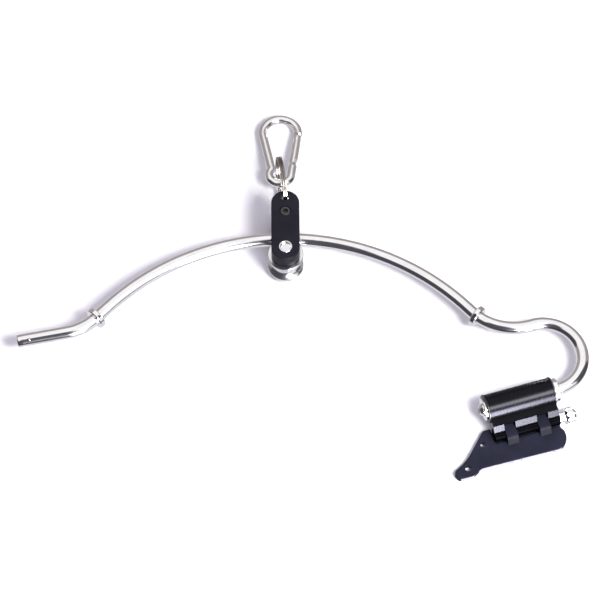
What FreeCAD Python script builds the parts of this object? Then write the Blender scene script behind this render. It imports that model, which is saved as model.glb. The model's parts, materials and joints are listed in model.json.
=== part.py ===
import FreeCAD, Part
import math
import os
import Sketcher
from FreeCAD import Placement, Rotation, Vector

# Bow-shaped traveller rod with a roller carriage, snap hook and hinged swivel bracket.
# World frame: +Z up, X along the chord of the bow, origin at the tail hole on the
# back face of the bracket plate. All lengths are millimetres, all angles degrees.

doc = FreeCAD.newDocument("traveller")
X_DIR, Y_DIR, Z_DIR = Vector(1, 0, 0), Vector(0, 1, 0), Vector(0, 0, 1)

# ---------------------------------------------------------------- dimensions
DIMENSIONS = {
    # rod, bent in one plane
    "rod_dia": 10.0, "bow_radius": 194.0, "bow_angle": 92.8, "seat_length": 8.0, "far_seat_length": 16.0,
    "sweep_radius": 45.0, "sweep_angle": 64.7, "crook_radius": 29.5, "barrel_angle": 16.7,
    "tip_radius": 43.0, "tip_angle": 35.0, "tip_length": 39.0, "tip_chamfer": 1.0,
    # spring ball near the tip
    "ball_dia": 3.0, "ball_proud": 0.7, "ball_from_tip": 9.4, "ball_hole_depth": 7.6, "ball_lean": 28.0,
    # stop collars and their grub screws
    "collar_out": 13.4, "far_collar_out": 15.2, "collar_dia": 17.4, "collar_width": 4.5,
    "collar_chamfer": 0.6, "grub_dia": 3.0,
    # swivel barrel
    "axis_height": 15.3, "barrel_dia": 22.0, "barrel_length": 53.0, "barrel_bore": 14.04,
    "bush_flange_dia": 23.0, "bush_flange": 1.0, "bush_length": 18.0, "end_play": 0.1,
    "thrust_dia": 19.0, "thrust_width": 4.2, "washer_dia": 17.6, "washer_width": 1.6,
    "end_head_dia": 10.5, "end_head_height": 3.3, "end_shank_dia": 6.0, "end_shank_length": 14.0,
    # hinge between barrel and bracket
    "pin_dia": 5.0, "pin_offset": 20.2, "pin_height": 7.0, "knuckle_dia": 10.0,
    "ledge_height": 17.0, "ledge_reach": 17.2, "cove_dia": 18.0,
    "knuckle_end": 8.5, "knuckle_mid": 17.4, "finger_width": 9.2, "finger_gap": 0.25,
    "finger_height": 11.6, "finger_reach": 8.3,
    # bracket plate
    "plate_thick": 5.0, "plate_chamfer": 0.5, "shelf_thick": 1.5, "shelf_width": 11.3, "tail_hole": 5.2, "upper_hole": 4.4,
    "slot_width": 6.5, "slot_depth": 3.0, "slot_run": 10.0,
    # pin head
    "neck_dia": 8.0, "neck_length": 5.0, "knob_dia": 13.8, "knob_length": 9.0, "flute_dia": 2.6,
    # roller carriage
    "carriage_turn": 0.5,
    "cheek_width": 22.5, "cheek_thick": 6.0, "rear_thick": 5.5, "cheek_chamfer": 0.7,
    "front_reach": 40.65, "middle_reach": 29.15, "side_gap": 0.3,
    "axle_drop": 18.9, "axle_dia": 9.6, "axle_bore": 6.6, "lip_dia": 10.6, "lip_height": 0.85,
    "dish_dia": 8.2, "dish_depth": 1.2, "axle_web": 3.0,
    "screw_reach": 33.0, "screw_dia": 5.0, "screw_head_dia": 8.5, "screw_head_height": 5.0,
    "screw_length": 30.0, "counterbore_dia": 9.4, "counterbore_depth": 5.2,
    "sleeve_dia": 9.0, "nut_flats": 8.0, "nut_height": 2.8,
    "ring_hole": 6.8, "ring_reach": 46.2,
    # roller
    "roller_dia": 28.6, "waist_dia": 21.0, "roller_length": 19.0, "waist_half": 7.5,
    "roller_bore": 13.0, "roller_bush_length": 9.2, "roller_chamfer": 0.5,
    # split ring
    "ring_radius": 21.0, "ring_thick": 2.0, "ring_width": 3.6, "ring_out": 19.0, "ring_drop": 8.54,
    "ring_yaw": 8.0, "ring_lean": 2.5,
    # snap hook
    "wire_dia": 7.0, "hook_big": 14.5, "hook_small": 8.9, "hook_centres": 43.6, "hook_neck": 5.0,
    "hook_lean": 11.7, "hook_tilt": 7.4, "bar_out": 27.4, "hook_side": 0.6, "bar_height": 12.2,
    "gate_pivot": 5.5, "tongue_thick": 3.0, "gate_end": 31.0, "latch_start": 32.2, "rivet_dia": 2.2,
}

sheet = doc.addObject("Spreadsheet::Sheet", "dims")
for row, (alias, number) in enumerate(DIMENSIONS.items(), start=1):
    sheet.set(f"A{row}", alias)
    sheet.set(f"B{row}", str(number))
    sheet.setAlias(f"B{row}", alias)
doc.recompute()


class SheetValues:
    """Reads a driving dimension from the spreadsheet by its alias."""

    def __getattr__(self, alias):
        return float(sheet.get(alias))


D = SheetValues()
RUNNING = 0.05      # radial clearance of a turning fit
SEATED = 0.02       # radial clearance of a fixed fit
SLID_ON = 0.09      # radial clearance of a collar slid over a bend


# ---------------------------------------------------------------- small tools
def polar(angle, length=1.0):
    return Vector(length * math.cos(math.radians(angle)), length * math.sin(math.radians(angle)), 0)


def bind(obj, **formulas):
    """Binds properties of an object to formulas of spreadsheet cells."""
    for prop, formula in formulas.items():
        obj.setExpression(prop, formula)
    return obj


def place(obj, at=(0, 0, 0), axis=Z_DIR):
    """Puts a primitive at a point with its own Z turned to an axis."""
    obj.Placement = Placement(Vector(*at), Rotation(Z_DIR, Vector(*axis)))
    return obj


def cylinder(name, dia, length, at=(0, 0, 0), axis=Z_DIR):
    obj = doc.addObject("Part::Cylinder", name)
    bind(obj, Radius=f"({dia}) / 2", Height=str(length))
    return place(obj, at, axis)


def sphere(name, dia, at):
    obj = doc.addObject("Part::Sphere", name)
    bind(obj, Radius=f"({dia}) / 2")
    return place(obj, at)


def box(name, size, corner, turn=0.0):
    obj = doc.addObject("Part::Box", name)
    bind(obj, Length=str(size[0]), Width=str(size[1]), Height=str(size[2]))
    obj.Placement = Placement(Vector(*corner), Rotation(Z_DIR, turn))
    return obj


def hexagon(name, flats, height, at=(0, 0, 0), axis=Z_DIR):
    obj = doc.addObject("Part::Prism", name)
    obj.Polygon = 6
    bind(obj, Circumradius=f"({flats}) / sqrt(3)", Height=str(height))
    return place(obj, at, axis)


def cut(name, base, *tools):
    """Takes every tool away from a base, one Part::Cut after another."""
    for index, tool in enumerate(tools):
        obj = doc.addObject("Part::Cut", name if index == len(tools) - 1 else f"{name}_step{index}")
        obj.Base, obj.Tool = base, tool
        base = obj
    return base


def fuse(name, *shapes):
    obj = doc.addObject("Part::MultiFuse", name)
    obj.Shapes = list(shapes)
    return obj


def tube(name, outer, inner, length, at=(0, 0, 0), axis=Z_DIR):
    return cut(name, cylinder(name + "_outer", outer, length, at, axis),
               cylinder(name + "_inner", inner, length, at, axis))


def chamfer(name, base, size, wanted):
    """Chamfers the edges of a recomputed object for which wanted(edge) is true."""
    doc.recompute()
    obj = doc.addObject("Part::Chamfer", name)
    obj.Base = base
    obj.Edges = [(i + 1, size, size) for i, edge in enumerate(base.Shape.Edges) if wanted(edge)]
    return obj


def is_circle(edge, radius, along, where):
    """True for a circular edge of a radius that lies at one place along an axis."""
    curve = edge.Curve
    return (isinstance(curve, Part.Circle) and abs(curve.Radius - radius) < 0.01
            and abs(curve.Center.dot(along) - where) < 0.01)


# ---------------------------------------------------------------- sketches
def new_body(name):
    return doc.addObject("PartDesign::Body", name)


def plane_of(body, role):
    return next(f for f in body.Origin.OriginFeatures if f.Role == role)


def new_sketch(body, name, role, offset=0.0):
    sketch = body.newObject("Sketcher::SketchObject", name)
    sketch.AttachmentSupport = [(plane_of(body, role), "")]
    sketch.MapMode = "FlatFace"
    sketch.AttachmentOffset = Placement(Vector(0, 0, offset), Rotation())
    return sketch


def arc_through(start, centre, turn):
    """An arc that leaves start and turns about centre by an angle."""
    spoke = start - centre
    middle = centre + Rotation(Z_DIR, turn / 2).multVec(spoke)
    return Part.Arc(start, middle, centre + Rotation(Z_DIR, turn).multVec(spoke))


def steered(start, heading, steps):
    """A tangent chain of lines (length,) and arcs (radius, turn), steered from a start."""
    chain, point = [], Vector(start)
    for step in steps:
        if len(step) == 1:
            end = point + polar(heading, step[0])
            chain.append(Part.LineSegment(point, end))
        else:
            radius, turn = step
            side = math.copysign(90, turn)
            centre = point + polar(heading + side, radius)
            chain.append(arc_through(point, centre, turn))
            end = centre + polar(heading - side + turn, radius)
            heading += turn
        point = end
    return chain, point, heading


def rounded(corners):
    """A closed outline from corners (x, y, radius); a radius of 0 leaves a corner sharp."""
    points = [Vector(x, y, 0) for x, y, _ in corners]
    ends = []
    for i, (_, _, radius) in enumerate(corners):
        before = (points[i - 1] - points[i]).normalize()
        after = (points[(i + 1) % len(points)] - points[i]).normalize()
        half = before.getAngle(after) / 2
        reach = radius / math.tan(half)
        centre = points[i] + (before + after).normalize() * (radius / math.sin(half))
        ends.append((points[i] + before * reach, centre, points[i] + after * reach, radius))
    chain = []
    for i, (first, centre, last, radius) in enumerate(ends):
        if radius:
            middle = centre + (points[i] - centre).normalize() * radius
            chain.append(Part.Arc(first, middle, last))
        target = ends[(i + 1) % len(ends)][0]
        if (target - last).Length > 1e-6:
            chain.append(Part.LineSegment(last, target))
    return chain


def draw(sketch, chain, closed=True):
    """Adds a chain of lines and arcs to a sketch and joins their ends."""
    first = sketch.GeometryCount
    for piece in chain:
        sketch.addGeometry(piece)
    count = len(chain)
    for i in range(count if closed else count - 1):
        here, there = first + i, first + (i + 1) % count
        for a, b in ((a, b) for a in (1, 2) for b in (1, 2)):
            if (sketch.getPoint(here, a) - sketch.getPoint(there, b)).Length < 1e-5:
                sketch.addConstraint(Sketcher.Constraint("Coincident", here, a, there, b))
                break


def draw_circle(sketch, x, y, dia_alias):
    """A circle whose diameter is bound to a spreadsheet cell."""
    index = sketch.addGeometry(Part.Circle(Vector(x, y, 0), Z_DIR, getattr(D, dia_alias) / 2))
    row = sketch.addConstraint(Sketcher.Constraint("Radius", index, getattr(D, dia_alias) / 2))
    sketch.setExpression(f"Constraints[{row}]", f"dims.{dia_alias} / 2")


def bind_radius(sketch, index, alias):
    """Binds the radius of one arc of a sketch to a spreadsheet cell."""
    row = sketch.addConstraint(Sketcher.Constraint("Radius", index, getattr(D, alias)))
    sketch.setExpression(f"Constraints[{row}]", f"dims.{alias}")


def pad(body, sketch, name, length):
    obj = body.newObject("PartDesign::Pad", name)
    obj.Profile = sketch
    return bind(obj, Length=str(length))


def revolution(body, sketch, name, axis):
    obj = body.newObject("PartDesign::Revolution", name)
    obj.Profile = sketch
    obj.ReferenceAxis = (sketch, [axis])
    obj.Angle = 360
    return obj


def pipe(body, path, section, name):
    obj = body.newObject("PartDesign::AdditivePipe", name)
    obj.Profile = section
    obj.Spine = (path, [f"Edge{i + 1}" for i in range(path.GeometryCount)])
    return obj


# ---------------------------------------------------------------- frames
TAIL_U, TAIL_W = -27.3, 39.2        # tail hole seen from the barrel: along it, and away from it
BARREL_TURN = Rotation(Z_DIR, D.barrel_angle)


def barrel_point(u, w, z=0.0):
    """World point of u along the barrel from its inner face, w towards the bracket, z over the base."""
    return BARREL_TURN.multVec(Vector(u - TAIL_U, TAIL_W - w, 0)) + Vector(0, 0, z)


BARREL = Placement(barrel_point(0, 0, D.axis_height), BARREL_TURN)   # X along the barrel, -Y to the plate
BRACKET = Placement(Vector(0, 0, 0), BARREL_TURN)                    # same axes, at the tail hole

# faces along the barrel, counted from the inner end of its body
OUTER_FLANGE = D.barrel_length
THRUST_FACE = D.barrel_length + D.bush_flange + D.end_play
ROD_START = -D.bush_flange - D.end_play
CROOK_START = THRUST_FACE + D.thrust_width + 0.3

CROOK_TURN = 180 - D.barrel_angle + D.sweep_angle - D.bow_angle / 2
ROD_STEPS = [
    (CROOK_START - ROD_START,),
    (D.crook_radius, CROOK_TURN),
    (D.sweep_radius, -D.sweep_angle),
    (D.seat_length,),
    (D.bow_radius, D.bow_angle),
    (D.far_seat_length,),
    (D.tip_radius, -D.tip_angle),
    (D.tip_length,),
]
ROD = BARREL * Placement(Vector(ROD_START, 0, 0), Rotation())


def rod_station(steps):
    """World placement of the end of the first steps of the rod, X along the rod."""
    _, point, heading = steered(Vector(0, 0, 0), 0.0, ROD_STEPS[:steps])
    return ROD * Placement(point, Rotation(Z_DIR, heading))


BOW_START, BOW_END, TIP = (rod_station(n) for n in (4, 5, 8))
SWEEP_IN = D.collar_out - D.seat_length         # the right collar sits just inside the sweep bend
SWEEP_BACK = Rotation(Z_DIR, math.degrees(SWEEP_IN / D.sweep_radius))
RIGHT_COLLAR = (rod_station(3) * Placement(Vector(0, -D.sweep_radius, 0), SWEEP_BACK)
                * Placement(Vector(0, D.sweep_radius, 0), Rotation()))
LEFT_COLLAR = BOW_END * Placement(Vector(D.far_collar_out, 0, 0), Rotation())
BOW_CENTRE = BOW_START.multVec(Vector(0, D.bow_radius, 0))
CARRIAGE = (Placement(Vector(BOW_CENTRE.x, BOW_CENTRE.y, 0), Rotation(Z_DIR, D.carriage_turn))
            * Placement(Vector(0, D.bow_radius - D.axle_drop, 0), Rotation()))     # at the axle, Y outwards

REAR_TOP = D.rear_thick
ROLLER_LOW = REAR_TOP + D.side_gap
ROLLER_HIGH = ROLLER_LOW + D.roller_length
MIDDLE_LOW = ROLLER_HIGH + D.side_gap
FRONT_LOW = MIDDLE_LOW + D.cheek_thick
FRONT_TOP = FRONT_LOW + D.cheek_thick

NODES = []


def node(label, obj, frame):
    """Names a finished sub-part and puts it in the world."""
    obj.Label = label
    obj.Placement = frame * obj.Placement
    NODES.append(obj)
    return obj


# ---------------------------------------------------------------- rod
def make_rod():
    body = new_body("RodBody")
    path = new_sketch(body, "RodPath", "XY_Plane")
    chain, _, _ = steered(Vector(0, 0, 0), 0.0, ROD_STEPS)
    draw(path, chain, closed=False)
    for index, alias in ((1, "crook_radius"), (2, "sweep_radius"), (4, "bow_radius"), (6, "tip_radius")):
        bind_radius(path, index, alias)
    section = new_sketch(body, "RodSection", "YZ_Plane")
    draw_circle(section, 0, 0, "rod_dia")
    pipe(body, path, section, "RodPipe")
    tip = ROD.inverse() * TIP
    away = tip.Rotation.multVec(X_DIR)
    ends = chamfer("RodEnds", body, D.tip_chamfer, lambda e: is_circle(
        e, D.rod_dia / 2, away, tip.Base.dot(away)) or is_circle(e, D.rod_dia / 2, X_DIR, 0))
    thread = cylinder("RodThread", f"dims.end_shank_dia + {2 * SEATED}", "dims.end_shank_length", axis=X_DIR)
    seat = ball_frame(-D.ball_hole_depth + D.rod_dia / 2)
    hole = cylinder("BallHole", f"dims.ball_dia + {2 * RUNNING}", "dims.ball_hole_depth + 1")
    hole.Placement = ROD.inverse() * seat
    node("bow_rod", cut("BowRod", ends, thread, hole), ROD)


def ball_frame(height):
    """World frame on the axis of the spring ball, Z outwards, height from the rod's axis."""
    turned = TIP * Placement(Vector(-D.ball_from_tip, 0, 0), Rotation(X_DIR, -D.ball_lean))
    return turned * Placement(Vector(0, 0, height), Rotation())


def make_tip_detent():
    centre = D.rod_dia / 2 + D.ball_proud - D.ball_dia / 2
    ball = sphere("Ball", "dims.ball_dia", (0, 0, 0))
    node("tip_detent_ball", ball, ball_frame(centre))
    floor = D.rod_dia / 2 - D.ball_hole_depth
    length = centre - D.ball_dia / 2 - floor - 0.1
    spring = tube("BallSpring", "dims.ball_dia - 0.4", "dims.ball_dia - 1.4", length)
    node("tip_detent_spring", spring, ball_frame(floor))


def make_stop_collar(label, seat):
    """A collar centred on one place of the rod, with the hole of its grub screw."""
    blank = cylinder(label + "_blank", "dims.collar_dia", "dims.collar_width", axis=X_DIR)
    blank = chamfer(label + "_edges", blank, D.collar_chamfer, lambda e: isinstance(e.Curve, Part.Circle))
    bore = cylinder(label + "_bore", f"dims.rod_dia + {2 * SLID_ON}", "dims.collar_width", axis=X_DIR)
    screw_hole = cylinder(label + "_tap", "dims.grub_dia", "dims.collar_dia / 2",
                          (D.collar_width / 2, 0, 0), grub_axis(seat))
    node(label, cut(label + "_cut", blank, bore, screw_hole), collar_frame(seat))


def grub_axis(seat):
    """Direction of a collar's grub screw in the collar's own frame, leaning to the near side."""
    side = -1 if seat.Rotation.multVec(Y_DIR).y > 0 else 1
    lean = math.radians(D.ball_lean)
    return Vector(0, side * math.sin(lean), math.cos(lean))


def collar_frame(seat):
    return seat * Placement(Vector(-D.collar_width / 2, 0, 0), Rotation())


def make_grub_screws():
    """Both grub screws as separate solids of one node."""
    low = D.rod_dia / 2 + RUNNING
    length = D.collar_dia / 2 - low - 0.4
    screws = []
    for side, seat in (("left", LEFT_COLLAR), ("right", RIGHT_COLLAR)):
        axis = grub_axis(seat)
        start = Vector(D.collar_width / 2, 0, 0) + axis * low
        shank = cylinder(f"grub_{side}_shank", f"dims.grub_dia - {2 * SEATED}", length, start, axis)
        socket = hexagon(f"grub_{side}_socket", "1.5", 1.5, start + axis * (length - 1.4), axis)
        screw = cut(f"grub_{side}", shank, socket)
        screw.Placement = collar_frame(seat)
        screws.append(screw)
    group = doc.addObject("Part::Compound", "GrubScrews")
    group.Links = screws
    node("collar_grub_screws", group, Placement())


def make_rod_end():
    """Thrust collar at the crook, washer and button-head screw at the inner end."""
    blank = cylinder("ThrustBlank", "dims.thrust_dia", "dims.thrust_width", axis=X_DIR)
    blank = chamfer("ThrustEdges", blank, 0.5, lambda e: isinstance(e.Curve, Part.Circle))
    bore = cylinder("ThrustBore", f"dims.rod_dia + {2 * SEATED}", "dims.thrust_width", axis=X_DIR)
    node("thrust_collar", cut("ThrustCollar", blank, bore),
         BARREL * Placement(Vector(THRUST_FACE, 0, 0), Rotation()))
    washer = cylinder("WasherBlank", "dims.washer_dia", "dims.washer_width", axis=X_DIR)
    washer = chamfer("WasherEdges", washer, 0.3, lambda e: isinstance(e.Curve, Part.Circle))
    hole = cylinder("WasherHole", "dims.end_shank_dia + 0.4", "dims.washer_width", axis=X_DIR)
    washer_at = ROD_START - D.washer_width
    node("end_washer", cut("EndWasher", washer, hole), BARREL * Placement(Vector(washer_at, 0, 0), Rotation()))
    body = new_body("EndScrewBody")
    profile = new_sketch(body, "EndScrewProfile", "XY_Plane")
    head, radius, shank = D.end_head_height, D.end_head_dia / 2, D.end_shank_dia / 2
    draw(profile, rounded([(-head, 0, 0), (-head, radius * 0.55, 2.2), (-0.6, radius, 0.6), (0, radius, 0),
                           (0, shank, 0), (D.end_shank_length - 2, shank, 0), (D.end_shank_length - 2, 0, 0)]))
    revolution(body, profile, "EndScrewTurned", "H_Axis")
    socket = hexagon("EndScrewSocket", "4", 2.2, (-head - 0.2, 0, 0), X_DIR)
    node("end_screw", cut("EndScrew", body, socket), BARREL * Placement(Vector(washer_at, 0, 0), Rotation()))


# ---------------------------------------------------------------- swivel barrel
PIN_Y, PIN_Z = -D.pin_offset, D.pin_height - D.axis_height      # hinge axis seen from the barrel's axis
KNUCKLES = [(0.0, D.knuckle_end),
            (D.knuckle_end + D.finger_width, D.knuckle_mid),
            (D.knuckle_end + 2 * D.finger_width + D.knuckle_mid, 0.0)]
KNUCKLES[2] = (KNUCKLES[2][0], D.barrel_length - KNUCKLES[2][0])
FINGERS = [D.knuckle_end, D.knuckle_end + D.finger_width + D.knuckle_mid]


LEDGE_Z = D.ledge_height - D.axis_height
COVE_LOW = PIN_Z + math.sqrt((D.cove_dia / 2) ** 2 - (D.pin_offset - 12.0) ** 2)
COVE_HIGH = PIN_Z + math.sqrt((D.cove_dia / 2) ** 2 - (D.pin_offset - D.ledge_reach) ** 2)


def ledge_outline():
    """Outline of the ledge along the barrel, hollowed underneath where the plate's fingers turn."""
    crown = Vector(PIN_Y, PIN_Z, 0) + polar(55, D.cove_dia / 2)
    corners = [Vector(-12.0, COVE_LOW, 0), Vector(-8.0, -5.0, 0), Vector(-8.0, LEDGE_Z, 0),
               Vector(-D.ledge_reach, LEDGE_Z, 0), Vector(-D.ledge_reach, COVE_HIGH, 0)]
    walls = [Part.LineSegment(a, b) for a, b in zip(corners, corners[1:])]
    return walls + [Part.Arc(corners[-1], crown, corners[0])]


def lug_outline():
    """Outline of a lug: flush with the ledge, then a steep slope down to the round knuckle."""
    radius = D.knuckle_dia / 2
    pin = Vector(PIN_Y, PIN_Z, 0)
    top, nose, bottom = (pin + polar(angle, radius) for angle in (90, 180, 270))
    return [Part.LineSegment(Vector(-8.0, LEDGE_Z, 0), Vector(-D.ledge_reach, LEDGE_Z, 0)),
            Part.LineSegment(Vector(-D.ledge_reach, LEDGE_Z, 0), top), Part.Arc(top, nose, bottom),
            Part.LineSegment(bottom, Vector(-7.0, -8.0, 0)),
            Part.LineSegment(Vector(-7.0, -8.0, 0), Vector(-8.0, LEDGE_Z, 0))]


def make_barrel():
    body = new_body("BarrelBody")
    rim = new_sketch(body, "BarrelRound", "YZ_Plane")
    draw_circle(rim, 0, 0, "barrel_dia")
    pad(body, rim, "BarrelPad", "dims.barrel_length")
    ledge = new_sketch(body, "Ledge", "YZ_Plane", 1.0)
    draw(ledge, ledge_outline())
    pad(body, ledge, "LedgePad", "dims.barrel_length - 2")
    for number, (start, width) in enumerate(KNUCKLES):
        lug = new_sketch(body, f"Lug{number}", "YZ_Plane", start)
        draw(lug, lug_outline())
        pad(body, lug, f"LugPad{number}", width)
    doc.recompute()
    ends = chamfer("BarrelEdges", body, 0.5, lambda e: is_circle(e, D.barrel_dia / 2, X_DIR, 0)
                   or is_circle(e, D.barrel_dia / 2, X_DIR, D.barrel_length))
    bore = cylinder("BarrelBore", "dims.barrel_bore", "dims.barrel_length", axis=X_DIR)
    pin_bore = cylinder("BarrelPinBore", f"dims.pin_dia + {2 * RUNNING}", "dims.barrel_length",
                        (0, PIN_Y, PIN_Z), X_DIR)
    node("swivel_barrel", cut("SwivelBarrel", ends, bore, pin_bore), BARREL)


def make_barrel_bush(label, face, direction):
    """A flanged plain bush pushed into one end of the barrel; direction points into it."""
    sleeve = cylinder(label + "_sleeve", f"dims.barrel_bore - {2 * SEATED}", "dims.bush_length", axis=X_DIR)
    flange = cylinder(label + "_flange", "dims.bush_flange_dia", "dims.bush_flange",
                      (-D.bush_flange, 0, 0), X_DIR)
    flange = chamfer(label + "_rim", flange, 0.3,
                     lambda e: is_circle(e, D.bush_flange_dia / 2, X_DIR, -D.bush_flange))
    bore = cylinder(label + "_bore", f"dims.rod_dia + {2 * RUNNING}", "dims.bush_length + dims.bush_flange",
                    (-D.bush_flange, 0, 0), X_DIR)
    turn = Rotation(Z_DIR, 0 if direction > 0 else 180)
    node(label, cut(label + "_cut", fuse(label + "_blank", sleeve, flange), bore),
         BARREL * Placement(Vector(face, 0, 0), turn))


# ---------------------------------------------------------------- hinge pin
HINGE = BARREL * Placement(Vector(0, PIN_Y, PIN_Z), Rotation())


def make_hinge_pin():
    pin = cylinder("PinShaft", "dims.pin_dia", "dims.barrel_length + 6", (0.6, 0, 0), X_DIR)
    pin = chamfer("PinPoint", pin, 0.8, lambda e: is_circle(e, D.pin_dia / 2, X_DIR, 0.6))
    node("hinge_pin", pin, HINGE)


def make_pin_knob():
    """A turned head on a neck, with flutes round its rim."""
    body = new_body("KnobBody")
    profile = new_sketch(body, "KnobProfile", "XY_Plane")
    neck, reach, radius = D.neck_length, D.neck_length + D.knob_length, D.knob_dia / 2
    bore = D.pin_dia / 2 + SEATED
    draw(profile, rounded([(0, bore, 0), (0, D.neck_dia / 2, 0.5), (neck, D.neck_dia / 2, 0.8),
                           (neck + 1.2, radius, 1.2), (reach - 2.6, radius, 2.2), (reach, radius * 0.5, 3.0),
                           (reach, 0, 0), (6.6, 0, 0), (6.6, bore, 0)]))
    revolution(body, profile, "KnobTurned", "H_Axis")
    flutes = []
    for k in range(10):
        spoke = polar(36 * k, radius + 0.3)
        flutes.append(cylinder(f"Flute{k}", "dims.flute_dia", "dims.knob_length + 4",
                               (neck - 1, spoke.x, spoke.y), X_DIR))
    frame = HINGE * Placement(Vector(D.barrel_length + 0.2, 0, 0), Rotation())
    node("pin_knob", cut("PinKnob", body, fuse("Flutes", *flutes)), frame)


# ---------------------------------------------------------------- bracket plate
def plate_xy(u, w):
    """Bracket-frame point of u along the barrel and w away from it."""
    return u - TAIL_U, TAIL_W - w


def plate_corner(u, w, radius=0.0):
    return (*plate_xy(u, w), radius)


def make_bracket():
    body = new_body("PlateBody")
    outline = new_sketch(body, "PlateOutline", "XY_Plane")
    front = D.pin_offset + D.knuckle_dia / 2 + 0.6
    draw(outline, rounded([
        plate_corner(-0.4, front, 1.0), plate_corner(-0.4, 12.6, 1.0), plate_corner(-6.5, 12.6, 3.0),
        plate_corner(-26.8, 33.4, 40.0), plate_corner(-39.2, 39.4, 3.5), plate_corner(-36.8, 46.6, 4.5),
        plate_corner(-25.5, 46.8, 7.0), plate_corner(-18.0, 42.7, 12.0), plate_corner(54.6, 44.4, 11.0),
        plate_corner(54.6, front, 6.0)]))
    pad(body, outline, "PlatePad", "dims.plate_thick")
    doc.recompute()
    rim = chamfer("PlateEdges", body, D.plate_chamfer,
                  lambda e: e.BoundBox.ZMin > D.plate_thick - 0.01 and is_rim(e, front))
    fingers = []
    near, far = D.finger_reach - D.pin_offset + TAIL_W, plate_xy(0, front + 2.5)[1]
    for number, start in enumerate(FINGERS):
        finger = new_body(f"FingerBody{number}")
        section = new_sketch(finger, f"Finger{number}", "YZ_Plane", start + D.finger_gap - TAIL_U)
        draw(section, rounded([(near, 1.2, 1.5), (near, D.finger_height, 3.0), (far + 1.5, D.finger_height, 2.5),
                               (far - 2.0, D.plate_thick - 0.5, 0), (far - 2.0, 0, 0), (near - 2.0, 0, 0)]))
        pad(finger, section, f"FingerPad{number}", f"dims.finger_width - 2 * {D.finger_gap}")
        fingers.append(finger)
    shelf = box("Shelf", ("dims.barrel_length + 1", "dims.shelf_width", "dims.shelf_thick"),
                (*plate_xy(-0.5, front + 0.5), 0))
    solid = fuse("PlateSolid", rim, shelf, *fingers)
    holes = [cylinder("TailHole", "dims.tail_hole", "dims.plate_thick + 2", (0, 0, -1)),
             cylinder("UpperHole", "dims.upper_hole", "dims.plate_thick + 2", (*plate_xy(-10.2, 23.3), -1)),
             cylinder("FingerPinHole", f"dims.pin_dia + {2 * RUNNING}", 60,
                      (*plate_xy(0, D.pin_offset), D.pin_height), X_DIR)]
    for number, u in enumerate((12.0, 39.0)):
        holes.append(box(f"StrapSlot{number}", ("dims.slot_width", "dims.slot_run", "dims.slot_depth"),
                         (*plate_xy(u - D.slot_width / 2, 45.6), -0.001)))
    node("bracket_plate", cut("BracketPlate", solid, *holes), BRACKET)


def is_rim(edge, front):
    """True for an edge of the plate away from its row of fingers."""
    return edge.CenterOfMass.y < plate_xy(0, front)[1] - 0.5 or edge.CenterOfMass.x < plate_xy(-1, 0)[0]


# ---------------------------------------------------------------- roller carriage
def stadium(reach):
    """Outline of a cheek: round about the axle and round again at its reach."""
    half = D.cheek_width / 2
    return [Part.Arc(Vector(-half, 0, 0), Vector(0, -half, 0), Vector(half, 0, 0)),
            Part.LineSegment(Vector(half, 0, 0), Vector(half, reach, 0)),
            Part.Arc(Vector(half, reach, 0), Vector(0, reach + half, 0), Vector(-half, reach, 0)),
            Part.LineSegment(Vector(-half, reach, 0), Vector(-half, 0, 0))]


def make_cheek(label, low, thick, reach, chamfered, *cuts):
    body = new_body(label + "_body")
    outline = new_sketch(body, label + "_outline", "XY_Plane", low)
    draw(outline, stadium(reach))
    pad(body, outline, label + "_pad", thick)
    doc.recompute()
    rim = chamfer(label + "_edges", body, D.cheek_chamfer,
                  lambda e: e.BoundBox.ZLength < 0.01 and round(e.BoundBox.ZMin, 3) in chamfered)
    height = f"{thick} + 2"
    axle_hole = cylinder(label + "_axle", f"dims.axle_dia + {2 * SEATED}", height, (0, 0, low - 1))
    screw_hole = cylinder(label + "_screw", "dims.screw_dia + 0.1", height, (0, D.screw_reach, low - 1))
    node(label, cut(label + "_cut", rim, axle_hole, screw_hole, *cuts), CARRIAGE)


def make_cheeks():
    lip_seat = cylinder("LipSeat", "dims.lip_dia + 0.4", "1 + 1", (0, 0, -1))
    nut_seat = hexagon("NutSeat", "dims.nut_flats + 0.2", "dims.nut_height + 1.4", (0, D.screw_reach, -1))
    make_cheek("rear_cheek", 0.0, "dims.rear_thick", D.front_reach, (0.0, round(REAR_TOP, 3)), lip_seat, nut_seat)
    make_cheek("middle_cheek", MIDDLE_LOW, "dims.cheek_thick", D.middle_reach, (round(MIDDLE_LOW, 3),))
    head_seat = cylinder("HeadSeat", "dims.counterbore_dia", "dims.counterbore_depth + 1",
                         (0, D.screw_reach, FRONT_TOP - D.counterbore_depth))
    ring_hole = cylinder("RingHole", "dims.ring_hole", "dims.cheek_thick + 2", (0, D.ring_reach, FRONT_LOW - 1))
    make_cheek("front_cheek", FRONT_LOW, "dims.cheek_thick", D.front_reach,
               (round(FRONT_TOP, 3),), head_seat, ring_hole)


def make_axle():
    """A pin with a lip at each end: bored from the rear, with a shallow dish in its front end."""
    body = new_body("AxleBody")
    profile = new_sketch(body, "AxleProfile", "XZ_Plane")
    outer, inner, lip, dish = D.axle_dia / 2, D.axle_bore / 2, D.lip_dia / 2, D.dish_dia / 2
    rear, front = 1.0, FRONT_TOP
    floor = front - D.dish_depth
    draw(profile, rounded([(inner, rear - D.lip_height, 0.5), (lip, rear - D.lip_height, 0.4), (lip, rear, 0),
                           (outer, rear, 0), (outer, front, 0), (lip, front, 0),
                           (lip, front + D.lip_height, 0.4), (dish, front + D.lip_height, 0.4),
                           (dish, floor, 0.6), (0, floor, 0), (0, floor - D.axle_web, 0),
                           (inner, floor - D.axle_web, 0)]))
    revolution(body, profile, "AxleTurned", "V_Axis")
    node("hollow_axle", body, CARRIAGE)


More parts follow.
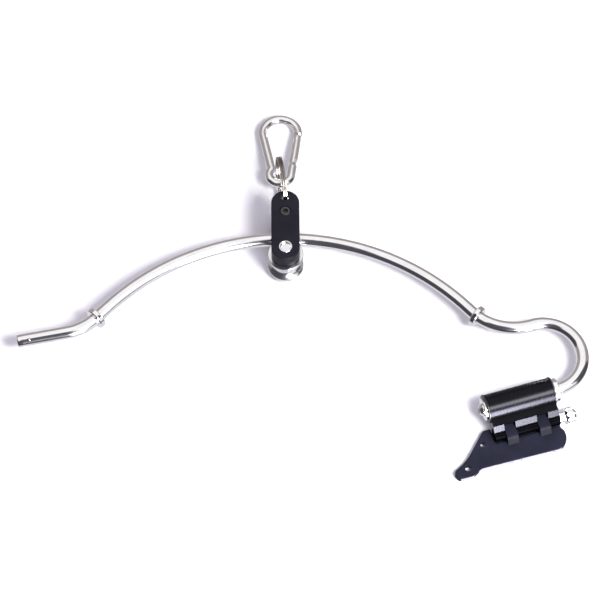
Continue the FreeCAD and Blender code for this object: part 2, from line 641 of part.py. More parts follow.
def make_clamp():
    """Screw, spacer sleeve and nut that hold the cheeks together beyond the rod."""
    head_low = FRONT_TOP - D.counterbore_depth
    at = (0, D.screw_reach)
    head = cylinder("HeadRound", "dims.screw_head_dia", "dims.screw_head_height", (*at, head_low))
    head = chamfer("HeadEdge", head, 0.5, lambda e: isinstance(e.Curve, Part.Circle)
                   and e.BoundBox.ZMin > head_low + 1)
    shank = cylinder("Shank", "dims.screw_dia", "dims.screw_length", (*at, head_low - D.screw_length))
    socket = hexagon("Socket", "4", 3, (*at, head_low + D.screw_head_height - 2.5))
    node("clamp_screw", cut("ClampScrew", fuse("ScrewBlank", head, shank), socket), CARRIAGE)
    sleeve = tube("Sleeve", "dims.sleeve_dia", "dims.screw_dia + 0.2", MIDDLE_LOW - REAR_TOP, (*at, REAR_TOP))
    node("spacer_sleeve", sleeve, CARRIAGE)
    nut = hexagon("NutBlank", "dims.nut_flats", "dims.nut_height", (*at, 0.3))
    nut_bore = cylinder("NutBore", f"dims.screw_dia + {2 * SEATED}", "dims.nut_height", (*at, 0.3))
    node("clamp_nut", cut("ClampNut", nut, nut_bore), CARRIAGE)


def make_roller():
    body = new_body("RollerBody")
    profile = new_sketch(body, "RollerProfile", "XZ_Plane")
    rim, waist, bore = D.roller_dia / 2, D.waist_dia / 2, D.roller_bore / 2
    middle = (ROLLER_LOW + ROLLER_HIGH) / 2
    edge = D.roller_chamfer
    low, high = middle - D.waist_half, middle + D.waist_half
    corners = [Vector(x, y, 0) for x, y in (
        (bore, ROLLER_LOW), (rim - edge, ROLLER_LOW), (rim, ROLLER_LOW + edge), (rim, low), (rim, high),
        (rim, ROLLER_HIGH - edge), (rim - edge, ROLLER_HIGH), (bore, ROLLER_HIGH))]
    chain = [Part.LineSegment(a, b) for a, b in zip(corners, corners[1:] + corners[:1])]
    chain[3] = Part.Arc(corners[3], Vector(waist, middle, 0), corners[4])
    draw(profile, chain)
    revolution(body, profile, "RollerTurned", "V_Axis")
    node("roller", body, CARRIAGE)
    for label, low in (("roller_bush_rear", ROLLER_LOW), ("roller_bush_front", ROLLER_HIGH - D.roller_bush_length)):
        bush = tube(label + "_tube", f"dims.roller_bore - {2 * SEATED}", f"dims.axle_dia + {2 * RUNNING}",
                    "dims.roller_bush_length", (0, 0, low))
        node(label, bush, CARRIAGE)


# ---------------------------------------------------------------- split ring
RING_HEIGHT = (FRONT_LOW + FRONT_TOP) / 2
RING_PIVOT = CARRIAGE * Placement(Vector(0, D.ring_reach - 0.2, RING_HEIGHT), Rotation(Z_DIR, D.ring_yaw))
RING = RING_PIVOT * Placement(Vector(0, 0, 0), Rotation(Y_DIR, D.ring_lean))


def make_ring():
    """A flat double coil, here as one ring, standing in the hole of the front cheek."""
    body = new_body("RingBody")
    profile = new_sketch(body, "RingProfile", "XY_Plane")
    half, thick = D.ring_width / 2, D.ring_thick / 2
    draw(profile, rounded([(-half, D.ring_radius - thick, 0.7), (half, D.ring_radius - thick, 0.7),
                           (half, D.ring_radius + thick, 0.7), (-half, D.ring_radius + thick, 0.7)]))
    revolution(body, profile, "RingTurned", "H_Axis")
    out = math.sqrt(D.ring_radius ** 2 - D.ring_drop ** 2)
    node("split_ring", body, RING * Placement(Vector(0, out, -D.ring_drop), Rotation()))


# ---------------------------------------------------------------- snap hook
DROP_TO_BAR = RING_HEIGHT - D.bar_height
BAR = RING_PIVOT.multVec(Vector(-DROP_TO_BAR * math.tan(math.radians(D.ring_lean)), D.bar_out, -DROP_TO_BAR))
HOOK = (Placement(BAR + Vector(D.hook_side, 0, 0), Rotation(X_DIR, -D.hook_tilt))
        * Placement(Vector(0, D.hook_small, 0), Rotation()))      # at the centre of the small end
GATE_SLOPE = math.degrees(math.asin((D.hook_big - D.hook_small) / D.hook_centres))
GATE_TOP = Vector(0, D.hook_centres, 0) + polar(-GATE_SLOPE, D.hook_big)
GATE_RUN = math.sqrt(D.hook_centres ** 2 - (D.hook_big - D.hook_small) ** 2)
GATE = Placement(GATE_TOP, Rotation(Z_DIR, -90 - GATE_SLOPE))     # X down the gate's own line


def hook_steps():
    """Steps of the hook's wire from the latch, round the small end, up and round the big end."""
    lean, reach = D.hook_lean, D.hook_neck + D.hook_small
    start = Vector(0, D.hook_centres, 0) + polar(180 + lean, D.hook_big) + polar(180 + lean, D.hook_neck)
    down = polar(lean - 90)
    along = -start.dot(down)
    run = along - math.sqrt(along ** 2 - start.Length ** 2 + reach ** 2)
    neck_centre = start + down * run
    meeting = math.degrees(math.atan2(neck_centre.y, neck_centre.x))
    small_turn = 360 - meeting - GATE_SLOPE
    neck_turn = 180 + lean - meeting
    return [(GATE_RUN - D.latch_start,), (D.hook_small, -small_turn), (D.hook_neck, neck_turn), (run,),
            (D.hook_big, -(180 + lean + GATE_SLOPE)), (0.8,)]


def make_hook_body():
    start = GATE.multVec(Vector(D.latch_start, 0, 0))
    body = new_body("HookWire")
    path = new_sketch(body, "HookPath", "XY_Plane")
    to_local = (GATE * Placement(Vector(D.latch_start, 0, 0), Rotation())).inverse()
    chain, _, _ = steered(Vector(0, 0, 0), 0.0, hook_steps())
    draw(path, chain, closed=False)
    section = new_sketch(body, "HookSection", "YZ_Plane")
    draw_circle(section, 0, 0, "wire_dia")
    pipe(body, path, section, "HookPipe")
    tongue = box("Tongue", (10.0, 5.6, "dims.tongue_thick"), (0, -2.8, -D.tongue_thick / 2))
    nose = box("Nose", (6.0, 5.0, 2.6), (D.latch_start - 4.6, -2.5, -1.3))
    cross = cylinder("NoseBar", "2.4", 5.2, (D.latch_start - 3.6, 0.9, -2.6))
    for extra in (tongue, nose, cross):
        extra.Placement = to_local * GATE * extra.Placement
    pivot = cylinder("TongueHole", f"dims.rivet_dia + {2 * RUNNING}", 8, (D.gate_pivot, 0, -4))
    pivot.Placement = to_local * GATE * pivot.Placement
    node("hook_body", cut("HookBody", fuse("HookSolid", body, tongue, nose, cross), pivot),
         HOOK * to_local.inverse())


def make_gate():
    """The gate bar: forked at the pivot, slotted for the nose at the latch, bored for its spring."""
    start = 2.6
    bar = cylinder("GateBar", "dims.wire_dia - 0.2", f"dims.gate_end - {start}", (start, 0, 0), X_DIR)
    fork = box("GateFork", (9.4, 9.0, "dims.tongue_thick + 0.5"), (start - 1, -4.5, -D.tongue_thick / 2 - 0.25))
    latch = box("GateLatch", (6.0, 9.0, 3.2), (D.gate_end - 4.0, -4.5, -1.6))
    notch = box("GateNotch", (3.6, 5.0, 6.0), (D.gate_end - 4.2, -0.9, -3.0))
    bore = cylinder("GateBore", "2.6", 12, (start + 7, 0, 0), X_DIR)
    hole = cylinder("GateHole", f"dims.rivet_dia + {2 * SEATED}", 9, (D.gate_pivot, 0, -4.5))
    node("hook_gate", cut("HookGate", bar, fork, latch, notch, bore, hole), HOOK * GATE)
    rivet = cylinder("Rivet", "dims.rivet_dia", "dims.wire_dia - 1.0",
                     (D.gate_pivot, 0, -(D.wire_dia - 1.0) / 2))
    node("gate_rivet", rivet, HOOK * GATE)
    plunger = cylinder("Plunger", "2.4", 3.0, (start + 8.4, 0, 0), X_DIR)
    node("gate_plunger", plunger, HOOK * GATE)
    spring = tube("GateSpring", "2.4", "1.4", 7.4, (start + 11.5, 0, 0), X_DIR)
    node("gate_spring", spring, HOOK * GATE)


# ---------------------------------------------------------------- build, check, write
def build():
    make_rod()
    make_tip_detent()
    make_stop_collar("left_stop_collar", LEFT_COLLAR)
    make_stop_collar("right_stop_collar", RIGHT_COLLAR)
    make_grub_screws()
    make_rod_end()
    make_barrel()
    make_barrel_bush("barrel_bush_inner", 0.0, 1)
    make_barrel_bush("barrel_bush_outer", D.barrel_length, -1)
    make_hinge_pin()
    make_pin_knob()
    make_bracket()
    make_cheeks()
    make_axle()
    make_clamp()
    make_roller()
    make_ring()
    make_hook_body()
    make_gate()
    doc.recompute()


def check():
    for obj in doc.Objects:
        if "Invalid" in obj.State or "Error" in obj.State:
            raise RuntimeError(f"{obj.Name} ({obj.Label}) failed: {obj.State}")
    for obj in NODES:
        if obj.Shape.isNull() or not obj.Shape.isValid() or not obj.Shape.Solids:
            raise RuntimeError(f"{obj.Label} has no valid solid")


def write():
    os.makedirs("parts", exist_ok=True)
    for obj in NODES:
        obj.Shape.exportStep(f"parts/{obj.Label}.step")
        print(obj.Label, len(obj.Shape.Solids), round(obj.Shape.Volume, 1))


build()
check()
write()
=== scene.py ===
import json
import math

import bmesh
import bpy
from mathutils import Matrix, Vector


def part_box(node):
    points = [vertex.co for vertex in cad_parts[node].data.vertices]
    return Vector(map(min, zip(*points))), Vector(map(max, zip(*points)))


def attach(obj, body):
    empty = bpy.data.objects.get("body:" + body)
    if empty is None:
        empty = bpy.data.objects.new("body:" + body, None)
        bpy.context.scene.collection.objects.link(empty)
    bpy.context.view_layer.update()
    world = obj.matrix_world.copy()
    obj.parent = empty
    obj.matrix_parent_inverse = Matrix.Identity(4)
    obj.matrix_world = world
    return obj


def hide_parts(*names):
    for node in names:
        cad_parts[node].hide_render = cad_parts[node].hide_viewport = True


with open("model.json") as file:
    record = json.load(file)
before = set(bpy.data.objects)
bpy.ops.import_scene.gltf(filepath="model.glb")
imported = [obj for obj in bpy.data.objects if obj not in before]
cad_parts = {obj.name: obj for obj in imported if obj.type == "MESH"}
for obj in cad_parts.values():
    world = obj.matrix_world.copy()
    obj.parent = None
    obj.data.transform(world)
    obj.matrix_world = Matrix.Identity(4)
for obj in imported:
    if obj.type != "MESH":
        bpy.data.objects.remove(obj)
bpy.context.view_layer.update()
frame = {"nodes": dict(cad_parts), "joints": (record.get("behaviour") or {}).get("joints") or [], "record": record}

JOINTS = {j["name"]: j for j in frame["joints"]}
NODES = frame["nodes"]
Z = Vector((0, 0, 1))
MM = 0.001


# ---------------------------------------------------------------- frames of the part
def joint_at(name):
    return Vector(JOINTS[name]["pos_m"])


def frame_matrix(origin, x_dir, z_dir=Z):
    """A frame at origin with its X and Z along two square directions."""
    x, z = x_dir.normalized(), z_dir.normalized()
    return Matrix.Translation(origin) @ Matrix((x, z.cross(x), z)).transposed().to_4x4()


BARREL_AXIS = Vector(JOINTS["bow_swivel"]["axis"])
BARREL = frame_matrix(joint_at("bow_swivel") - BARREL_AXIS * 26.5 * MM, BARREL_AXIS)
BOW_CENTRE = joint_at("carriage_travel")
RING_HOLE = joint_at("ring_swing")
HOOK = frame_matrix(joint_at("hook_swing"), Vector((1, 0, 0)), Vector(JOINTS["hook_swing"]["axis"]))


# ---------------------------------------------------------------- camera, light, floor
def make_camera():
    """Looks along +Y and down by 62 degrees, at a point above the middle of the bow."""
    elevation, distance = math.radians(62), 2.0
    target = Vector((BOW_CENTRE.x + 0.0099, BOW_CENTRE.y + 0.147, 0))
    back = Vector((0, -math.cos(elevation), math.sin(elevation)))
    data = bpy.data.cameras.new("camera")
    data.lens, data.sensor_width = 150, 36
    camera = bpy.data.objects.new("camera", data)
    camera.location = target + back * distance
    camera.rotation_euler = (-back).to_track_quat("-Z", "Y").to_euler()
    data.clip_start, data.clip_end = 0.05, 20
    bpy.context.scene.collection.objects.link(camera)
    bpy.context.scene.camera = camera


def aim(obj, place, target):
    obj.location = place
    obj.rotation_euler = (target - place).to_track_quat("-Z", "Y").to_euler()


def polar_place(azimuth, elevation, distance):
    """A place round the bow: azimuth 0 is towards the viewer (-Y), 90 towards +X."""
    a, e = math.radians(azimuth), math.radians(elevation)
    middle = Vector((BOW_CENTRE.x, BOW_CENTRE.y + 0.1, 0))
    return middle + distance * Vector((math.sin(a) * math.cos(e), -math.cos(a) * math.cos(e), math.sin(e)))


def add_light(name, azimuth, elevation, distance, size, power, colour=(1, 1, 1)):
    data = bpy.data.lights.new(name, "AREA")
    data.shape = "RECTANGLE"
    data.size, data.size_y = size
    data.energy, data.color = power, colour
    light = bpy.data.objects.new(name, data)
    aim(light, polar_place(azimuth, elevation, distance), polar_place(0, 0, 0))
    bpy.context.scene.collection.objects.link(light)


def make_card(name, azimuths, elevations, distance, shade, level=1.0):
    """A curved card round the bow that glows evenly with its shade and only shows in reflections, where it paints
    the studio's light and dark into the metal.
    """
    mesh = bpy.data.meshes.new(name)
    columns, rows = 24, 8
    points = []
    for j in range(rows + 1):
        for i in range(columns + 1):
            a = azimuths[0] + (azimuths[1] - azimuths[0]) * i / columns
            e = elevations[0] + (elevations[1] - elevations[0]) * j / rows
            points.append(polar_place(a, e, distance))
    faces = [(j * (columns + 1) + i, j * (columns + 1) + i + 1,
              (j + 1) * (columns + 1) + i + 1, (j + 1) * (columns + 1) + i)
             for j in range(rows) for i in range(columns)]
    mesh.from_pydata(points, [], faces)
    card = bpy.data.objects.new(name, mesh)
    bpy.context.scene.collection.objects.link(card)
    card.data.materials.append(emission(name, shade, level))
    card.visible_camera = card.visible_diffuse = card.visible_shadow = False


def emission(name, shade, level):
    """An even glow of one shade, for the studio cards."""
    mat = bpy.data.materials.new(name)
    mat.use_nodes = True
    nodes = mat.node_tree.nodes
    nodes.clear()
    out = nodes.new("ShaderNodeOutputMaterial")
    glow = nodes.new("ShaderNodeEmission")
    glow.inputs["Color"].default_value = (*shade, 1)
    glow.inputs["Strength"].default_value = level
    mat.node_tree.links.new(glow.outputs[0], out.inputs[0])
    return mat


def make_floor():
    size, low = 4.0, -0.0002
    mesh = bpy.data.meshes.new("floor")
    mesh.from_pydata([(-size, -size, low), (size, -size, low), (size, size, low), (-size, size, low)],
                     [], [(0, 1, 2, 3)])
    floor = bpy.data.objects.new("floor", mesh)
    bpy.context.scene.collection.objects.link(floor)
    mat = bpy.data.materials.new("floor_white")
    mat.use_nodes = True
    shader = mat.node_tree.nodes["Principled BSDF"]
    shader.inputs["Base Color"].default_value = (0.92, 0.92, 0.935, 1)
    shader.inputs["Roughness"].default_value = 0.7
    shader.inputs["Specular IOR Level"].default_value = 0.1
    mesh.materials.append(mat)
    floor.visible_glossy = False


def make_studio():
    """A pale table, one soft key light, and cards all round that give the metal its light and dark bands."""
    scene = bpy.context.scene
    scene.view_settings.view_transform = "Standard"
    scene.view_settings.look = "None"
    world = bpy.data.worlds.new("studio")
    world.use_nodes = True
    background = world.node_tree.nodes["Background"]
    background.inputs["Color"].default_value = (0.91, 0.87, 1.0, 1)
    background.inputs["Strength"].default_value = 0.66
    scene.world = world
    add_light("key", 51, 52, 1.4, (0.5, 0.5), 26, (1.0, 0.99, 0.97))
    make_card("strip", (17, 33), (-12, 21), 1.7, (0.93, 0.92, 1.0), 130.0)
    make_card("wall_left", (262, 375), (-32, 50), 1.8, (0.075, 0.07, 0.078))
    make_card("wall_front_top", (325, 375), (50, 74), 1.8, (0.085, 0.08, 0.09))
    make_card("wall_right", (70, 105), (-32, 50), 1.8, (0.08, 0.075, 0.08))
    make_card("wall_back", (105, 262), (-32, 36), 1.8, (0.42, 0.38, 0.36))
    make_card("wall_bright_low", (15, 70), (-32, -12), 1.85, (1.0, 0.98, 0.98))
    make_card("wall_bright_high", (15, 70), (4, 38), 1.85, (1.0, 0.98, 0.98))
    make_card("wall_gap", (15, 70), (-32, 50), 1.88, (0.10, 0.095, 0.10))
    make_card("overhead_back", (105, 262), (36, 50), 1.88, (1.0, 0.98, 0.98), 1.15)
    make_card("overhead", (-180, 180), (50, 89.9), 1.9, (1.0, 0.98, 0.98), 1.15)
    make_card("under", (-180, 180), (-89.9, -32), 1.9, (0.85, 0.83, 0.9))
    make_floor()


# ---------------------------------------------------------------- materials
class Recipe:
    """A node material built up around one Principled shader."""

    def __init__(self, name, **sockets):
        self.mat = bpy.data.materials.new(name)
        self.mat.use_nodes = True
        self.tree = self.mat.node_tree
        self.shader = self.tree.nodes["Principled BSDF"]
        self.bumps = []
        for socket, value in sockets.items():
            self.shader.inputs[socket.replace("_", " ")].default_value = value
        self.coords = self.tree.nodes.new("ShaderNodeTexCoord")

    def link(self, a, b):
        self.tree.links.new(a, b)

    def noise(self, scale, stretch=(1, 1, 1), detail=3.0, source="Object", distortion=0.0):
        mapping = self.tree.nodes.new("ShaderNodeMapping")
        mapping.inputs["Scale"].default_value = stretch
        self.link(self.coords.outputs[source], mapping.inputs["Vector"])
        texture = self.tree.nodes.new("ShaderNodeTexNoise")
        texture.inputs["Scale"].default_value = scale
        texture.inputs["Detail"].default_value = detail
        texture.inputs["Distortion"].default_value = distortion
        self.link(mapping.outputs["Vector"], texture.inputs["Vector"])
        return texture.outputs["Fac"]

    def colour(self, fac, low, high, spread=(0.35, 0.65)):
        ramp = self.tree.nodes.new("ShaderNodeValToRGB")
        ramp.color_ramp.elements[0].position, ramp.color_ramp.elements[1].position = spread
        ramp.color_ramp.elements[0].color = (*low, 1)
        ramp.color_ramp.elements[1].color = (*high, 1)
        self.link(fac, ramp.inputs["Fac"])
        self.link(ramp.outputs["Color"], self.shader.inputs["Base Color"])
        return self

    def roughness(self, fac, low, high, spread=(0.3, 0.7)):
        ranged = self.tree.nodes.new("ShaderNodeMapRange")
        ranged.inputs["From Min"].default_value, ranged.inputs["From Max"].default_value = spread
        ranged.inputs["To Min"].default_value, ranged.inputs["To Max"].default_value = low, high
        self.link(fac, ranged.inputs["Value"])
        self.link(ranged.outputs["Result"], self.shader.inputs["Roughness"])
        return self

    def bump(self, fac, strength, distance):
        node = self.tree.nodes.new("ShaderNodeBump")
        node.inputs["Strength"].default_value = strength
        node.inputs["Distance"].default_value = distance
        self.link(fac, node.inputs["Height"])
        if self.bumps:
            self.link(self.bumps[-1].outputs["Normal"], node.inputs["Normal"])
        self.bumps.append(node)
        self.link(node.outputs["Normal"], self.shader.inputs["Normal"])
        return self


def drawn_steel(name, tone, rough, grain):
    """Polished wire or rod with faint draw lines along it; the mesh's UV runs along and round in metres."""
    r = Recipe(name, Metallic=1.0)
    smudge = r.noise(60.0, detail=4.0, distortion=0.6)
    lines = r.noise(1.0, (18.0, 2600.0, 1.0), 4.0, "UV")
    r.colour(smudge, tuple(0.93 * c for c in tone), tone)
    r.roughness(lines, rough[0], rough[1])
    r.bump(lines, grain, 0.00002)
    r.bump(r.noise(900.0, detail=2.0), 0.03, 0.00003)
    return r.mat


def turned_steel(name, tone, rough, axis_stretch):
    """Machined metal with fine marks: stretched noise across the object's own axes."""
    r = Recipe(name, Metallic=1.0)
    marks = r.noise(420.0, axis_stretch, 5.0)
    r.colour(r.noise(90.0, detail=3.0), tuple(0.9 * c for c in tone), tone)
    r.roughness(marks, rough[0], rough[1])
    r.bump(marks, 0.12, 0.00003)
    return r.mat


def matte_coat(name, low, high, rough, grain):
    """Coated or anodised metal with a fine orange-peel grain and slightly uneven tone."""
    r = Recipe(name)
    r.shader.inputs["Specular IOR Level"].default_value = 0.06
    r.colour(r.noise(45.0, detail=5.0, distortion=0.4), low, high)
    r.roughness(r.noise(160.0, detail=3.0), rough[0], rough[1])
    r.bump(r.noise(2600.0, detail=3.0), grain, 0.00006)
    return r.mat


def gloss_anodised(name):
    """Near-black gloss with faint lathe lines round the barrel and a thin clear sheen."""
    r = Recipe(name)
    r.shader.inputs["Specular IOR Level"].default_value = 0.14
    r.shader.inputs["Specular Tint"].default_value = (0.86, 0.86, 1.0, 1)
    r.colour(r.noise(50.0, detail=3.0), (0.0012, 0.0012, 0.002), (0.003, 0.003, 0.0045))
    lathe = r.noise(300.0, (9.0, 0.4, 0.4), 4.0)
    r.roughness(lathe, 0.23, 0.30)
    r.bump(lathe, 0.03, 0.00002)
    return r.mat


def mask(tree, source, direction, low, high):
    """0 to 1 as a vector's part along a direction goes from low to high."""
    along = tree.nodes.new("ShaderNodeVectorMath")
    along.operation = "DOT_PRODUCT"
    along.inputs[1].default_value = direction
    ranged = tree.nodes.new("ShaderNodeMapRange")
    ranged.inputs["From Min"].default_value, ranged.inputs["From Max"].default_value = low, high
    tree.links.new(source, along.inputs[0])
    tree.links.new(along.outputs["Value"], ranged.inputs["Value"])
    return ranged


def painted_front_highlight(mat, front, beyond, tone):
    """Painted highlight: faces that look level towards front, beyond a line out there, get a pale tone mixed over
    the coat, standing in for the light they catch.
    """
    tree = mat.node_tree
    shader = tree.nodes["Principled BSDF"]
    geometry = tree.nodes.new("ShaderNodeNewGeometry")
    place = tree.nodes.new("ShaderNodeTexCoord").outputs["Object"]
    facing = mask(tree, geometry.outputs["Normal"], front, 0.90, 0.94)
    outside = mask(tree, place, front, beyond, beyond + 0.5 * MM)
    both = tree.nodes.new("ShaderNodeMath")
    both.operation = "MULTIPLY"
    mix = tree.nodes.new("ShaderNodeMix")
    mix.data_type = "RGBA"
    tree.links.new(facing.outputs["Result"], both.inputs[0])
    tree.links.new(outside.outputs["Result"], both.inputs[1])
    tree.links.new(both.outputs[0], mix.inputs["Factor"])
    tree.links.new(shader.inputs["Base Color"].links[0].from_socket, mix.inputs[6])
    # The pale tone is painted light on the side faces that face the light.
    mix.inputs[7].default_value = (*tone, 1)
    tree.links.new(mix.outputs[2], shader.inputs["Base Color"])


def dull_knuckles(mat, front, beyond):
    """The anodised gloss turns to a blasted, almost dead matt beyond a line towards front."""
    tree = mat.node_tree
    shader = tree.nodes["Principled BSDF"]
    place = tree.nodes.new("ShaderNodeTexCoord").outputs["Object"]
    sheen = mask(tree, place, front, beyond, beyond + 0.8 * MM)
    sheen.inputs["To Min"].default_value = shader.inputs["Specular IOR Level"].default_value
    sheen.inputs["To Max"].default_value = 0.004
    tree.links.new(sheen.outputs["Result"], shader.inputs["Specular IOR Level"])


def soft_black(name, shade, rough):
    """Matt black plastic or oxide with a faint grain."""
    r = Recipe(name)
    r.colour(r.noise(120.0, detail=4.0), tuple(0.8 * c for c in shade), shade)
    r.roughness(r.noise(300.0), rough[0], rough[1])
    r.bump(r.noise(1800.0, detail=2.0), 0.15, 0.00005)
    return r.mat


MATERIALS = {
    "polished_stainless": drawn_steel("polished_stainless", (0.83, 0.83, 0.85), (0.10, 0.17), 0.10),
    "turned_stainless": turned_steel("turned_stainless", (0.78, 0.78, 0.80), (0.14, 0.24), (0.3, 0.3, 9.0)),
    "hook_stainless": drawn_steel("hook_stainless", (0.80, 0.80, 0.81), (0.13, 0.22), 0.12),
    "nickel_ring": drawn_steel("nickel_ring", (0.23, 0.205, 0.19), (0.22, 0.32), 0.15),
    "gloss_black": gloss_anodised("gloss_black"),
    "charcoal_coat": matte_coat("charcoal_coat", (0.012, 0.0135, 0.024), (0.017, 0.019, 0.034),
                                (0.46, 0.58), 0.20),
    "cheek_black": matte_coat("cheek_black", (0.010, 0.010, 0.015), (0.015, 0.015, 0.022),
                              (0.36, 0.48), 0.22),
    "bush_black": soft_black("bush_black", (0.012, 0.012, 0.014), (0.3, 0.45)),
    "black_oxide": soft_black("black_oxide", (0.02, 0.02, 0.022), (0.25, 0.4)),
    "bearing_steel": turned_steel("bearing_steel", (0.75, 0.75, 0.77), (0.08, 0.14), (1, 1, 1)),
    "spring_steel": turned_steel("spring_steel", (0.55, 0.55, 0.56), (0.2, 0.3), (1, 1, 1)),
}


FRONT = BARREL.to_3x3() @ Vector((0, -1, 0))
BARREL_LINE = FRONT.dot(BARREL.translation)
# Painted highlight on the plate's front side faces, which catch the light.
painted_front_highlight(MATERIALS["charcoal_coat"], FRONT, BARREL_LINE + 0.0418, (0.50, 0.48, 0.58))
dull_knuckles(MATERIALS["gloss_black"], FRONT, BARREL_LINE + 0.0198)


def dress_nodes():
    """Gives every carried-over CAD node its slot's material."""
    slot_of = {s["node"]: s["material_slot"] for s in frame["record"]["subparts"]}
    for name, node in NODES.items():
        node.data.materials.clear()
        node.data.materials.append(MATERIALS[slot_of[name]])


# ---------------------------------------------------------------- swept pieces
def steered(start, heading, steps, pitch):
    """Points and headings along a tangent chain of (length,) runs and (radius, turn) arcs.

    Lengths are in millimetres and turns in degrees; pitch is the spacing of points on the arcs."""
    point, points = Vector((*start, 0)), []
    for step in steps:
        if len(step) == 1:
            count = max(1, round(step[0] / (4 * pitch)))
            way = Vector((math.cos(heading), math.sin(heading), 0))
            points += [(point + way * step[0] * k / count, heading) for k in range(count)]
            point = point + way * step[0]
        else:
            radius, turn = step[0], math.radians(step[1])
            side = math.copysign(math.pi / 2, turn)
            spoke = Vector((math.cos(heading + side), math.sin(heading + side), 0)) * radius
            centre = point + spoke
            count = max(4, round(abs(radius * turn) / pitch))
            for k in range(count):
                a = turn * k / count
                points.append((centre - Matrix.Rotation(a, 3, "Z") @ spoke, heading + a))
            point = centre - Matrix.Rotation(turn, 3, "Z") @ spoke
            heading += turn
    points.append((point, heading))
    return points


def sweep(name, stations, ring):
    """A closed skin over stations of (matrix, scale), its section a ring of 2-D points in local Y and Z."""
    bm = bmesh.new()
    uv = bm.loops.layers.uv.new("UVMap")
    loops, along, round_ = [], [0.0], [0.0]
    for (a, _), (b, _) in zip(stations, stations[1:]):
        along.append(along[-1] + (b.translation - a.translation).length)
    for p, q in zip(ring, ring[1:] + ring[:1]):
        round_.append(round_[-1] + math.dist(p, q))
    for matrix, scale in stations:
        loops.append([bm.verts.new(matrix @ Vector((0, y * scale, z * scale))) for y, z in ring])
    for i, (near, far) in enumerate(zip(loops, loops[1:])):
        for k in range(len(ring)):
            m = (k + 1) % len(ring)
            face = bm.faces.new((near[k], near[m], far[m], far[k]))
            face.smooth = True
            corners = ((along[i], round_[k]), (along[i], round_[k + 1]),
                       (along[i + 1], round_[k + 1]), (along[i + 1], round_[k]))
            for loop, place in zip(face.loops, corners):
                loop[uv].uv = place
    bm.faces.new(loops[0])
    bm.faces.new(list(reversed(loops[-1])))
    bmesh.ops.recalc_face_normals(bm, faces=bm.faces)
    mesh = bpy.data.meshes.new(name)
    bm.to_mesh(mesh)
    bm.free()
    obj = bpy.data.objects.new(name, mesh)
    bpy.context.scene.collection.objects.link(obj)
    return obj


def circle(radius, count):
    """A ring of 2-D points for a round section."""
    return [(radius * math.cos(2 * math.pi * k / count), radius * math.sin(2 * math.pi * k / count))
            for k in range(count)]


def along_path(base, points):
    """Sweep stations in millimetres on a base frame: X of each station runs along the path."""
    return [(base @ Matrix.Translation(p * MM) @ Matrix.Rotation(h, 4, "Z"), 1.0) for p, h in points]


def rounded_ends(stations, radius):
    """Adds shrinking rings at both ends of a sweep, as a small turned edge."""
    steps = [(0.0, 1 - 0.8 * MM / radius), (0.35 * MM, 1 - 0.25 * MM / radius), (0.9 * MM, 1.0)]

    def edge(matrix, sign):
        return [(matrix @ Matrix.Translation((sign * shift, 0, 0)), scale) for shift, scale in steps]

    return edge(stations[0][0], 1) + stations[1:-1] + edge(stations[-1][0], -1)[::-1]


def finish_piece(obj, body, slot, *nodes, sharp=35):
    """Gives a piece its material, the CAD nodes it stands for and the body it moves with."""
    obj.data.materials.append(MATERIALS[slot])
    obj.data.set_sharp_from_angle(angle=math.radians(sharp))
    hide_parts(*nodes)
    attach(obj, body)


# The rod from its journal to its plug-in tip: straight runs (length) and bends (radius, turn).
ROD_STEPS = [(59.7,), (29.5, 181.6), (45.0, -64.7), (8.0,), (194.0, 92.8), (16.0,), (43.0, -35.0), (39.0,)]


def make_rod():
    """The bent rod, one skin from the journal in the barrel to the plug-in tip."""
    base = BARREL @ Matrix.Translation((-1.1 * MM, 0, 0))
    stations = along_path(base, steered((0, 0), 0.0, ROD_STEPS, 1.2))
    stations = rounded_ends(stations, 5 * MM)
    finish_piece(sweep("rod_skin", stations, circle(5 * MM, 64)), "bow", "polished_stainless", "bow_rod")


def make_split_ring():
    """Two flat turns of spring wire that step over from one to the other."""
    lean, yaw = math.radians(2.5), math.radians(8.5)
    base = (Matrix.Translation(RING_HOLE) @ Matrix.Rotation(yaw, 4, "Z") @ Matrix.Rotation(lean, 4, "Y"))
    out = math.sqrt(21.0 ** 2 - 8.54 ** 2)
    base = base @ Matrix.Translation((0, out * MM, -8.54 * MM))
    half_y, half_z, corner = 0.98, 0.86, 0.35
    section = []
    for cy, cz, start in ((half_y - corner, half_z - corner, 0), (corner - half_y, half_z - corner, 90),
                          (corner - half_y, corner - half_z, 180), (half_y - corner, corner - half_z, 270)):
        for k in range(5):
            a = math.radians(start + 90 * k / 4)
            section.append(((cy + corner * math.cos(a)) * MM, (cz + corner * math.sin(a)) * MM))
    stations, turns, count = [], 1.97, 300
    for k in range(count + 1):
        t = k / count
        angle = 2 * math.pi * turns * t + math.radians(-60)
        step = min(max((t - 0.46) / 0.08, 0.0), 1.0)
        side = -0.9 + 1.8 * (step * step * (3 - 2 * step))
        spoke = Vector((0, math.cos(angle), math.sin(angle)))
        place = Matrix.Translation(spoke * 21.0 * MM + Vector((side * MM, 0, 0)))
        tangent = Vector((0, -math.sin(angle), math.cos(angle)))
        turn = Matrix((tangent, spoke, tangent.cross(spoke))).transposed().to_4x4()
        stations.append((base @ place @ turn, 1.0))
    taper = [(0, 0.55), (1, 0.8), (2, 0.95)]
    for k, s in taper:
        stations[k] = (stations[k][0], s)
        stations[-1 - k] = (stations[-1 - k][0], s)
    finish_piece(sweep("ring_coil", stations, section), "ring", "nickel_ring", "split_ring", sharp=60)


# The snap hook's bends, from its own frame at the centre of the small end, in millimetres and degrees.
HOOK_BIG, HOOK_SMALL, HOOK_CENTRES, HOOK_NECK, HOOK_LEAN = 14.5, 8.9, 43.6, 5.0, 11.7
LATCH = 32.2
GATE_SLOPE = math.degrees(math.asin((HOOK_BIG - HOOK_SMALL) / HOOK_CENTRES))
GATE_RUN = math.sqrt(HOOK_CENTRES ** 2 - (HOOK_BIG - HOOK_SMALL) ** 2)


def polar(angle, length):
    return Vector((math.cos(math.radians(angle)), math.sin(math.radians(angle)), 0)) * length


